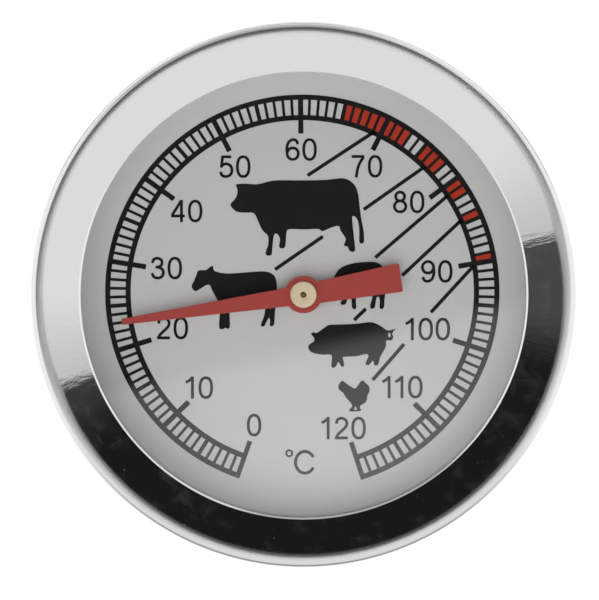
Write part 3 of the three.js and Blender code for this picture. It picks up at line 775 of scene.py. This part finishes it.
LEADER_WIDTH = 0.35
LEADERS = (
    ((7.05, 15.47), (0.53, 11.2)),
    ((11.85, 12.05), (5.96, 7.92)),
    ((2.03, 5.32), (-2.6, 2.13)),
    ((14.1, 9.28), (7.07, 3.27)),
    ((15.4, 6.9), (9.68, 1.54)),
    ((6.18, -1.66), (5.04, -2.76)),
    ((16.6, 2.5), (12.45, -2.02)),
    ((9.87, -5.07), (6.83, -8.55)),
)

COW = [
    (-6.33, 10.35), (-5.4, 10.42), (-4.3, 10.36), (-3.1, 10.66), (-2.2, 10.75), (0.2, 10.74), (2.4, 10.79),
    (3.74, 10.95), (4.45, 10.8), (5.08, 10.3), (5.42, 9.45), (5.58, 8.2), (5.72, 7.1), (5.95, 5.9),
    (6.0, 4.88), (5.82, 4.64), (5.54, 4.8), (5.54, 5.8), (5.42, 6.75), (5.18, 7.18), (4.88, 7.24),
    (4.9, 6.4), (5.06, 4.95), (5.14, 4.05), (4.95, 3.83), (4.6, 3.95), (4.38, 4.35), (4.06, 4.42),
    (4.16, 4.8), (4.2, 5.15), (3.72, 5.9), (3.55, 6.32), (2.9, 6.2), (1.97, 5.82), (1.6, 6.04),
    (0.2, 5.99), (-1.22, 6.02), (-1.5, 5.6), (-1.6, 4.4), (-1.9, 4.16), (-2.2, 4.34), (-2.12, 5.05),
    (-2.3, 5.45), (-2.52, 5.6), (-2.72, 5.35), (-2.85, 4.3), (-2.92, 3.6), (-3.2, 3.46), (-3.5, 3.58),
    (-3.44, 4.05), (-3.27, 4.5), (-3.27, 5.35), (-3.82, 5.92), (-4.24, 6.8), (-4.64, 7.56), (-5.4, 7.62),
    (-6.15, 7.66), (-6.62, 7.95), (-6.9, 8.42), (-6.42, 9.0), (-6.22, 9.6), (-6.3, 10.05),
]
CALF = [
    (-9.98, 2.03), (-9.3, 2.08), (-8.96, 2.3), (-8.62, 2.5), (-8.52, 2.1), (-8.2, 1.9), (-7.2, 1.74),
    (-5.6, 1.84), (-3.9, 1.95), (-3.1, 1.83), (-2.6, 1.4), (-2.42, 0.6), (-2.45, -0.7), (-2.6, -2.0),
    (-2.66, -3.0), (-2.82, -3.33), (-3.1, -3.28), (-3.08, -2.8), (-3.2, -2.55), (-3.4, -2.9),
    (-3.66, -3.35), (-3.96, -3.32), (-3.9, -3.0), (-3.62, -2.2), (-3.66, -1.3), (-4.6, -1.05),
    (-5.9, -1.15), (-6.9, -1.35), (-6.98, -2.3), (-6.95, -3.3), (-7.1, -3.62), (-7.4, -3.5),
    (-7.62, -3.64), (-7.95, -3.58), (-8.0, -3.1), (-7.94, -2.2), (-7.9, -1.3), (-8.2, -0.75),
    (-8.66, 0.1), (-8.92, 0.62), (-9.3, 0.58), (-9.9, 0.2), (-10.32, 0.04), (-10.66, 0.48),
    (-10.42, 1.05), (-10.2, 1.6),
]
SHEEP = [
    (3.05, 0.95), (3.2, 1.6), (3.55, 2.1), (4.1, 2.48), (5.1, 2.76), (6.2, 2.86), (7.0, 2.86), (7.6, 2.6),
    (8.0, 2.1), (8.2, 1.3), (8.12, 0.3), (7.98, -0.8), (7.94, -1.45), (7.75, -1.68), (7.5, -1.58),
    (7.52, -0.9), (7.42, -0.52), (7.2, -0.62), (7.1, -1.2), (6.98, -1.6), (6.6, -1.62), (6.64, -1.1),
    (6.78, -0.5), (6.1, -0.38), (5.3, -0.48), (5.22, -1.1), (5.26, -1.55), (5.08, -1.72), (4.84, -1.55),
    (4.8, -1.0), (4.72, -0.6), (4.42, -0.7), (4.24, -1.18), (3.9, -1.3), (3.72, -1.12), (3.9, -0.6),
    (3.6, -0.1), (3.2, 0.3),
]
PIG = [
    (0.88, -4.1), (1.1, -3.93), (1.4, -4.0), (1.85, -3.72), (2.35, -3.36), (2.75, -3.2), (4.1, -3.17),
    (5.3, -3.1), (6.4, -2.96), (7.0, -3.03), (7.7, -3.38), (8.22, -3.74), (8.6, -3.72), (9.04, -3.6),
    (8.84, -3.85), (8.72, -4.1), (8.82, -4.35), (8.66, -4.7), (8.16, -4.74), (8.14, -5.05), (8.05, -5.45),
    (7.74, -6.0), (7.52, -6.45), (7.4, -6.95), (7.2, -7.15), (6.96, -7.06), (6.94, -6.85), (6.82, -6.68),
    (6.62, -6.95), (6.38, -7.12), (6.14, -6.96), (6.3, -6.55), (6.42, -6.22), (6.16, -6.04), (5.2, -6.25),
    (4.02, -6.32), (4.0, -6.6), (4.08, -7.15), (3.86, -7.26), (3.68, -7.05), (3.52, -6.8), (3.26, -7.25),
    (2.95, -7.36), (2.84, -7.15), (2.88, -6.6), (2.8, -6.12), (1.9, -6.1), (1.1, -5.94), (0.72, -5.68),
    (0.6, -5.3), (0.8, -5.04), (1.08, -4.88), (1.2, -4.62), (1.1, -4.38),
]
PIG_TAIL_EYE = ellipse((8.45, -4.2), 0.12, 0.22, steps=14)
CHICKEN = [
    (3.5, -9.2), (3.66, -8.82), (3.92, -8.62), (4.2, -8.82), (4.7, -9.16), (5.12, -9.36), (5.42, -9.05),
    (5.66, -8.7), (5.92, -8.58), (6.1, -8.8), (6.4, -9.05), (6.54, -9.35), (6.48, -9.75), (6.3, -10.1),
    (6.28, -10.45), (6.06, -10.78), (5.72, -10.95), (5.6, -11.2), (5.7, -11.5), (5.2, -11.58),
    (4.62, -11.56), (4.6, -11.36), (4.84, -11.1), (4.72, -10.76), (4.3, -10.3), (4.0, -9.8),
    (3.64, -9.52),
]
CHICKEN_LEG_GAP = [(5.02, -11.42), (5.16, -11.02), (5.32, -11.42)]


def registered(outlines):
    return [[tuple(Vector(p) + REGISTER) for p in outline] for outline in outlines]


def print_on_dial(name, outlines, holes=()):
    front_y, back_y = DIAL_FRONT_Y - INK_THICKNESS, DIAL_FRONT_Y + INK_SINK
    shape = slab(registered(outlines), front_y, back_y, registered(holes))
    piece(name, shape, "head", INK_BLACK)


def print_red_ranges():
    front_y, back_y = DIAL_FRONT_Y - RED_INK_THICKNESS, DIAL_FRONT_Y + INK_SINK
    shape = slab(registered(red_outlines()), front_y, back_y)
    piece("ink_warm_ranges", shape, "head", INK_RED)


print_red_ranges()
print_on_dial("ink_scale", scale_outlines())
print_on_dial("ink_numerals", numeral_outlines())
print_on_dial("ink_unit", unit_outlines())
print_on_dial("ink_leaders", [quad for start, end in LEADERS for quad in bar(start, end, LEADER_WIDTH)])
for name, outline, holes in (
    ("ink_cow", COW, []), ("ink_calf", CALF, []), ("ink_sheep", SHEEP, []), ("ink_pig", PIG, [PIG_TAIL_EYE]),
    ("ink_chicken", CHICKEN, [CHICKEN_LEG_GAP]),
):
    print_on_dial(name, [smooth_path(outline, True, 4)], holes)

# -------- movement

REST_CELSIUS = 23.5
POINTER_LENGTH, TIP_WIDTH, ROOT_WIDTH = 17.7, 0.57, 1.8
BOSS_RADIUS, EYE_RADIUS = 1.8, 0.84
TAIL_LENGTH, TAIL_ROOT_WIDTH, TAIL_END_WIDTH, TAIL_CORNER = 9.53, 2.1, 2.77, 0.15
TAIL_BEND = 0.25  # how far the tail's end is bent to one side
HUB_EYE_DEPTH = 0.43


def pointer_plate():
    front_y, back_y, _ = span("pointer")
    root = math.degrees(math.asin(ROOT_WIDTH / 2 / BOSS_RADIUS))
    tail = 180 - math.degrees(math.asin(TAIL_ROOT_WIDTH / 2 / BOSS_RADIUS))
    tip_half, tail_half = TIP_WIDTH / 2, TAIL_END_WIDTH / 2
    midway, bend_midway = -5, 0.1
    # The first and last points of each rounded end only say how its edges run, so they are left out.
    outline = [
        *rounded([(POINTER_LENGTH - 1, -tip_half), (POINTER_LENGTH, -tip_half, 0.08),
                  (POINTER_LENGTH, tip_half, 0.08), (POINTER_LENGTH - 1, tip_half)], closed=False)[1:-1],
        *turned_about((0, 0), BOSS_RADIUS, root, tail, 30),
        *rounded([(midway, tail_half - bend_midway), (-TAIL_LENGTH, tail_half - TAIL_BEND, TAIL_CORNER),
                  (-TAIL_LENGTH, -tail_half - TAIL_BEND, TAIL_CORNER), (midway, -bend_midway - tail_half)],
                 closed=False)[1:-1],
        *turned_about((0, 0), BOSS_RADIUS, -tail, -root, 30),
    ]
    turn = math.radians(90 - (REST_CELSIUS - TOP_CELSIUS) * DEGREES_PER_CELSIUS)
    c, s = math.cos(turn), math.sin(turn)
    turned = [(x * c - z * s, x * s + z * c) for x, z in outline]
    eye = turned_about((0, 0), EYE_RADIUS, 0, 352.5, 47)
    return slab([turned], front_y, back_y, [eye], edge=0.04)


def pointer_hub():
    front_y, back_y, flange = span("pointer_hub")
    pointer_front, pointer_back, _ = span("pointer")
    head, shank, eye, bore, gap = 1.27, 0.8, 0.28, 0.47, 0.02
    head_back, flange_front = pointer_front - gap, pointer_back + gap
    shoulder = front_y + HUB_EYE_DEPTH
    return lathe(
        rounded(
            [
                (eye, front_y, 0.05), (head, front_y, 0.1), (head, head_back, 0.03),
                (shank, head_back, 0.03), (shank, flange_front, 0.03), (flange, flange_front, 0.05),
                (flange, back_y, 0.08), (bore, back_y, 0.05), (bore, shoulder, 0.03), (eye, shoulder, 0.03),
            ]
        ),
        96,
    )


def spindle():
    front_y, back_y, radius = span("spindle")
    nose, shoulder = 0.17, front_y + HUB_EYE_DEPTH
    return turned_solid(
        [(0.05, front_y), (nose, front_y, 0.08), (nose, shoulder, 0.03), (radius, shoulder, 0.05),
         (radius, back_y, 0.08), (0.05, back_y)],
        48,
    )


stand_in("pointer", pointer_plate(), RED_PAINT)
stand_in("pointer_hub", pointer_hub(), HUB_BRASS)
stand_in("spindle", spindle(), BROWNED)
stand_in("coil_collar", washer("coil_collar", 0.47, 0.08, 48), BRASS)

# -------- stem

STEM_SEGMENTS = 96
HEX_CORNER_ROUND = 0.18
HEX_CHAMFER = 0.45
HEX_EDGE_STEP = 0.35  # about how far apart the points along a flat's edge are


def hexagon_outline(across_flats):
    """Points round a hexagon with softened corners, two of its flats facing up and down."""
    corner_radius = across_flats / math.sqrt(3)
    corners = [
        (*point, HEX_CORNER_ROUND) for point in turned_about((0, 0), corner_radius, 0, 300, 5)
    ]
    soft = rounded(corners, arc_step_deg=12)
    points = []
    for a, b in zip(soft, soft[1:] + soft[:1]):
        steps = max(1, round((Vector(b) - Vector(a)).length / HEX_EDGE_STEP))
        points += [tuple(Vector(a).lerp(Vector(b), s / steps)) for s in range(steps)]
    return points


def hexagon_body(across_flats, front_y, back_y, front_profile, back_profile):
    """A turned hexagon: its corners are cut by cones, and both ends run on as turned profiles.

    Each profile is a list of (r, y) from the hexagon's end face to the bore.
    """
    outline = hexagon_outline(across_flats)
    directions = [Vector(p).normalized() for p in outline]
    face_radius = across_flats / math.sqrt(3) - HEX_CHAMFER * math.sqrt(3)
    fall = 1 / math.sqrt(3)

    def circle(radius, y):
        return [(d.x * radius, y, d.y * radius) for d in directions]

    def wall(end_y, sign):
        ring = []
        for x, z in outline:
            drop = max(0.0, math.hypot(x, z) - face_radius) * fall
            ring.append((x, end_y + sign * drop, z))
        return ring

    rings = [circle(r, y) for r, y in reversed(front_profile)]
    rings += [circle(face_radius, front_y), wall(front_y, 1)]
    rings += [wall(back_y, -1), circle(face_radius, back_y)]
    rings += [circle(r, y) for r, y in back_profile]
    return skin(rings, close_loop=True)


def hex_collar():
    front_y, back_y, _ = span("hex_collar")
    across, hex_front, hex_back, face = 10.0, 0.0, 4.0, 4.4
    spigot, bore, neck, neck_end, neck_bevel = 3.0, 2.05, 3.6, 2.5, 0.2
    forward = rounded(
        [(face, hex_front), (spigot, hex_front, 0.12), (spigot, front_y, 0.2), (bore, front_y, 0.08),
         (bore, hex_front)], closed=False)
    backward = rounded(
        [(face, hex_back), (neck, hex_back, 0.25), (neck, hex_back + 0.4, 0.15),
         (neck_end, back_y - neck_bevel, 0.1), (neck_end - neck_bevel, back_y, 0.05), (bore, back_y, 0.08),
         (bore, hex_back)], closed=False)
    return hexagon_body(across, hex_front, hex_back, forward, backward)


def lock_nut():
    front_y, back_y, _ = span("lock_nut")
    across, bore, soft, face = 8.6, 3.06, 0.12, 3.9
    forward = rounded([(face, front_y), (bore, front_y, soft), (bore, front_y + 0.6)], closed=False)
    backward = rounded([(face, back_y), (bore, back_y, soft), (bore, back_y - 0.6)], closed=False)
    return hexagon_body(across, front_y, back_y, forward, backward)


def stem_tube():
    front_y, back_y, radius = span("stem_tube")
    bore = radius - 0.3
    corners = [(bore, front_y, 0.06), (radius, front_y, 0.08), (radius, back_y, 0.05), (bore, back_y, 0.05)]
    return lathe(rounded(corners), STEM_SEGMENTS)


def stem_tip():
    front_y, back_y, radius = span("stem_tip")
    plug, shoulder_y, straight, end_radius = 1.66, 112.25, 0.8, 0.35
    return lathe(
        [
            (0, front_y),
            *rounded(
                [
                    (0.2, front_y), (plug, front_y, 0.1), (plug, shoulder_y, 0.03),
                    (radius, shoulder_y, 0.05), (radius, shoulder_y + straight, 1.5),
                    (end_radius, back_y - end_radius, 0.3), (0.05, back_y - 0.02),
                ],
                closed=False, arc_step_deg=6,
            ),
            (0, back_y),
        ],
        STEM_SEGMENTS,
    )


def wave_washer():
    front_y, back_y, radius = span("wave_washer")
    bore, thickness, height, waves = 3.1, 0.25, 0.22, 3
    middle = (front_y + back_y) / 2
    half, edge = thickness / 2, 0.04
    flat = [(bore, -half, edge), (radius, -half, edge), (radius, half, edge), (bore, half, edge)]
    vertices, faces = lathe(rounded(flat), 144)
    waved = [(x, middle + y + height * math.cos(waves * math.atan2(x, z)), z) for x, y, z in vertices]
    return waved, faces


def upper_bush():
    front_y, back_y, flange = span("upper_bush")
    bore, body, flange_back = 0.5, 1.66, front_y + 0.35
    return lathe(
        rounded([(bore, front_y, 0.06), (flange, front_y, 0.08), (flange, flange_back, 0.05),
                 (body, flange_back, 0.03), (body, back_y, 0.08), (bore, back_y, 0.06)]),
        64,
    )


def coil_anchor():
    front_y, back_y, radius = span("coil_anchor")
    post, base_y = 1.18, front_y + 2.2
    return turned_solid(
        [(0.1, front_y), (post, front_y, 0.1), (post, base_y, 0.05), (radius, base_y, 0.06),
         (radius, back_y, 0.08), (0.1, back_y)],
        48,
    )


def bimetal_coil():
    turns, steps_per_turn, pitch, start_y = 22, 36, 1.5, 74.0
    mean, thickness, width = 1.35, 0.2, 1.0
    x, y, edge = thickness / 2, width / 2, 0.04
    section = rounded([(x, -y, edge), (x, y, edge), (-x, y, edge), (-x, -y, edge)], arc_step_deg=30)
    rings = []
    for step in range(turns * steps_per_turn + 1):
        turn = step / steps_per_turn
        s, c = math.sin(2 * math.pi * turn), math.cos(2 * math.pi * turn)
        centre_y = start_y + pitch * turn
        rings.append([((mean + r) * s, centre_y + along, (mean + r) * c) for r, along in section])
    vertices, faces = skin(rings, close_loop=False)
    sides = len(section)
    faces += [tuple(range(sides)), tuple(range(len(vertices) - sides, len(vertices)))]
    return vertices, faces


stand_in("stem_tube", stem_tube(), STEM)
stand_in("stem_tip", stem_tip(), STEM)
stand_in("hex_collar", hex_collar(), SATIN, 25)
stand_in("seal_washer", washer("seal_washer", 3.1, 0.12, STEM_SEGMENTS), RUBBER)
stand_in("flat_washer", washer("flat_washer", 3.1, 0.06, STEM_SEGMENTS), SATIN)
stand_in("wave_washer", wave_washer(), SPRING)
stand_in("lock_nut", lock_nut(), BRASS, 25)
stand_in("upper_bush", upper_bush(), BRASS)
stand_in("lower_bush", washer("lower_bush", 0.5, 0.08, 64), BRASS)
stand_in("bimetal_coil", bimetal_coil(), BIMETAL)
stand_in("coil_anchor", coil_anchor(), BRASS)

# -------- studio

FLOOR_Z = -0.62
FLOOR_RADIUS = 7.0
FLOOR_SIDES = 144


def floor():
    """Large round pale sheet under the part, clear when seen from below."""
    outline = turned_about((0, 0), FLOOR_RADIUS, 0, 360 - 360 / FLOOR_SIDES, FLOOR_SIDES - 1)
    mesh = bpy.data.meshes.new("floor")
    mesh.from_pydata([(x, y, 0) for x, y in outline], [], [tuple(range(FLOOR_SIDES))])
    made, n, shader = new_material("floor_paper")
    place = n.millimetres()
    n.feed(shader.inputs["Base Color"], n.mix(n.noise(place, 3.0, 3.0), grey(0.9), grey(0.94)))
    shader.inputs["Roughness"].default_value = 0.9
    below = n.add("ShaderNodeNewGeometry").outputs["Backfacing"]
    clear = n.add("ShaderNodeBsdfTransparent", (1, 1, 1, 1))
    mixed = n.add("ShaderNodeMixShader", below, shader.outputs[0], clear.outputs[0])
    made.node_tree.links.new(mixed.outputs[0], made.node_tree.nodes["Material Output"].inputs["Surface"])
    mesh.materials.append(made)
    obj = bpy.data.objects.new("floor", mesh)
    obj.location.z = FLOOR_Z
    obj.visible_glossy = False
    show(obj)


STUDIO_WHITE = 1.05
BACK_LIGHT = 1.25
BACK_SHADE = 0.42
CEILING = 0.6
WALL_GAP = 0.28
ROOF_PANEL = 0.45
GLARE_TOP, GLARE_FOOT = 0.78, 1.9
FLAG_DARK = 0.014
FLAG_LEFT_GLOW = 0.088
FLAG_RIGHT_GLOW = 0.048
FLAG_HALF_ANGLE_DEG = 54
FLAG_EDGE_HEIGHT, FLAG_EDGE_SLOPE, FLAG_EDGE_CURVE = -0.0105, 0.22, 0.26
SIDE_START, SIDE_END = 0.15, 0.5  # how far to a side the room's sideways shades set in


def studio_world():
    """White room with a dark flag above the camera; the camera itself sees plain white.

    Behind the part the room is bright, greyer below, with a dark gap between its wall panels and a
    grey panel in its roof.
    """
    world = bpy.data.worlds.new("studio")
    world.use_nodes = True
    world.node_tree.nodes.clear()
    n = Nodes(world.node_tree)
    direction = n.add("ShaderNodeTexCoord").outputs["Generated"]
    split = n.add("ShaderNodeSeparateXYZ", direction).outputs
    x, y, z = split[0], split[1], split[2]
    to_right = n.math("MAXIMUM", x, 0.0)
    edge = n.plus(n.times(x, FLAG_EDGE_SLOPE), FLAG_EDGE_HEIGHT)
    bend = n.times(n.times(to_right, to_right), FLAG_EDGE_CURVE)
    edge = n.plus(edge, bend)
    over_edge = n.math("SUBTRACT", z, edge)
    above = n.step(over_edge, -0.0025, 0.0025)
    limit = math.cos(math.radians(FLAG_HALF_ANGLE_DEG))
    ahead = n.step(n.times(y, -1.0), limit - 0.015, limit + 0.015)
    flag = n.times(above, ahead)

    leftward = n.step(n.times(x, -1.0), SIDE_START, SIDE_END)
    rightward = n.step(x, SIDE_START, SIDE_END)
    left_glow = n.times(leftward, n.step(over_edge, 0.38, 0.2))
    right_glow = n.times(rightward, n.step(over_edge, 0.2, 0.06))
    dark = n.mix(left_glow, grey(FLAG_DARK), grey(FLAG_LEFT_GLOW))
    dark = n.mix(right_glow, dark, grey(FLAG_RIGHT_GLOW))

    near_edge = n.times(n.step(over_edge, -0.32, 0.0), n.step(over_edge, 0.1, 0.0))
    sideways = n.plus(leftward, rightward)
    white = n.mix(n.times(near_edge, sideways), grey(STUDIO_WHITE), grey(0.75 * STUDIO_WHITE))
    walls = n.step(n.math("ABSOLUTE", x), 0.76, 0.86)
    white = n.mix(walls, white, grey(BACK_LIGHT))
    overhead = n.times(n.step(z, 0.6, 0.75), n.step(x, 0.35, 0.15))
    white = n.mix(overhead, white, grey(CEILING))
    gap = n.times(n.step(z, 0.26, 0.3), n.step(z, 0.5, 0.44))
    behind = n.mix(n.times(gap, n.step(y, 0.5, 0.65)), grey(BACK_LIGHT), grey(WALL_GAP))
    behind = n.mix(n.step(z, -0.45, -0.8), behind, grey(BACK_SHADE))
    roof = n.times(n.step(z, 0.78, 0.84), n.step(y, 0.3, 0.4))
    roof = n.times(roof, n.step(n.math("ABSOLUTE", x), 0.42, 0.32))
    behind = n.mix(roof, behind, grey(ROOF_PANEL))
    white = n.mix(n.step(y, -0.1, 0.3), white, behind)
    glare = n.mix(n.step(over_edge, 0.0, -0.04), grey(GLARE_TOP), grey(GLARE_FOOT))
    white = n.mix(n.step(y, -0.97, -0.995), white, glare)
    room = n.mix(flag, white, dark)
    is_camera = n.add("ShaderNodeLightPath").outputs["Is Camera Ray"]
    seen = n.mix(is_camera, room, grey(1.0))
    background = n.add("ShaderNodeBackground", seen, 1.0)
    out = n.add("ShaderNodeOutputWorld")
    world.node_tree.links.new(background.outputs[0], out.inputs["Surface"])
    bpy.context.scene.world = world


KEY_DISTANCE = 0.6
KEY_BELOW_DEG = 17
KEY_LEFT_DEG = 9
KEY_SIZE = 0.8
KEY_WATTS = 2.8


def key_light():
    """Large soft lamp in front of the dial, low and a little to the left."""
    data = bpy.data.lights.new("key", "AREA")
    data.shape = "DISK"
    data.size = KEY_SIZE
    data.energy = KEY_WATTS
    made = bpy.data.objects.new("key", data)
    below, left = math.radians(KEY_BELOW_DEG), math.radians(KEY_LEFT_DEG)
    away = Vector((-math.sin(left) * math.cos(below), -math.cos(left) * math.cos(below), -math.sin(below)))
    made.location = away * KEY_DISTANCE
    made.rotation_euler = away.to_track_quat("Z", "Y").to_euler()
    made.visible_glossy = False
    show(made)


LENS_MM = 300.0
SENSOR_MM = 36
CAMERA_DISTANCE = 0.477
RIM_Y = -11.15 * MM
CAMERA_X, CAMERA_Z = -0.000375, -0.000518


def camera():
    data = bpy.data.cameras.new("camera")
    data.lens = LENS_MM
    data.sensor_width = SENSOR_MM
    data.clip_start, data.clip_end = 0.01, 20
    made = bpy.data.objects.new("camera", data)
    made.location = (CAMERA_X, RIM_Y - CAMERA_DISTANCE, CAMERA_Z)
    made.rotation_euler = (math.radians(90), 0, 0)
    show(made)
    bpy.context.scene.camera = made


floor()
studio_world()
key_light()
camera()
bpy.context.scene.view_settings.view_transform = "Standard"
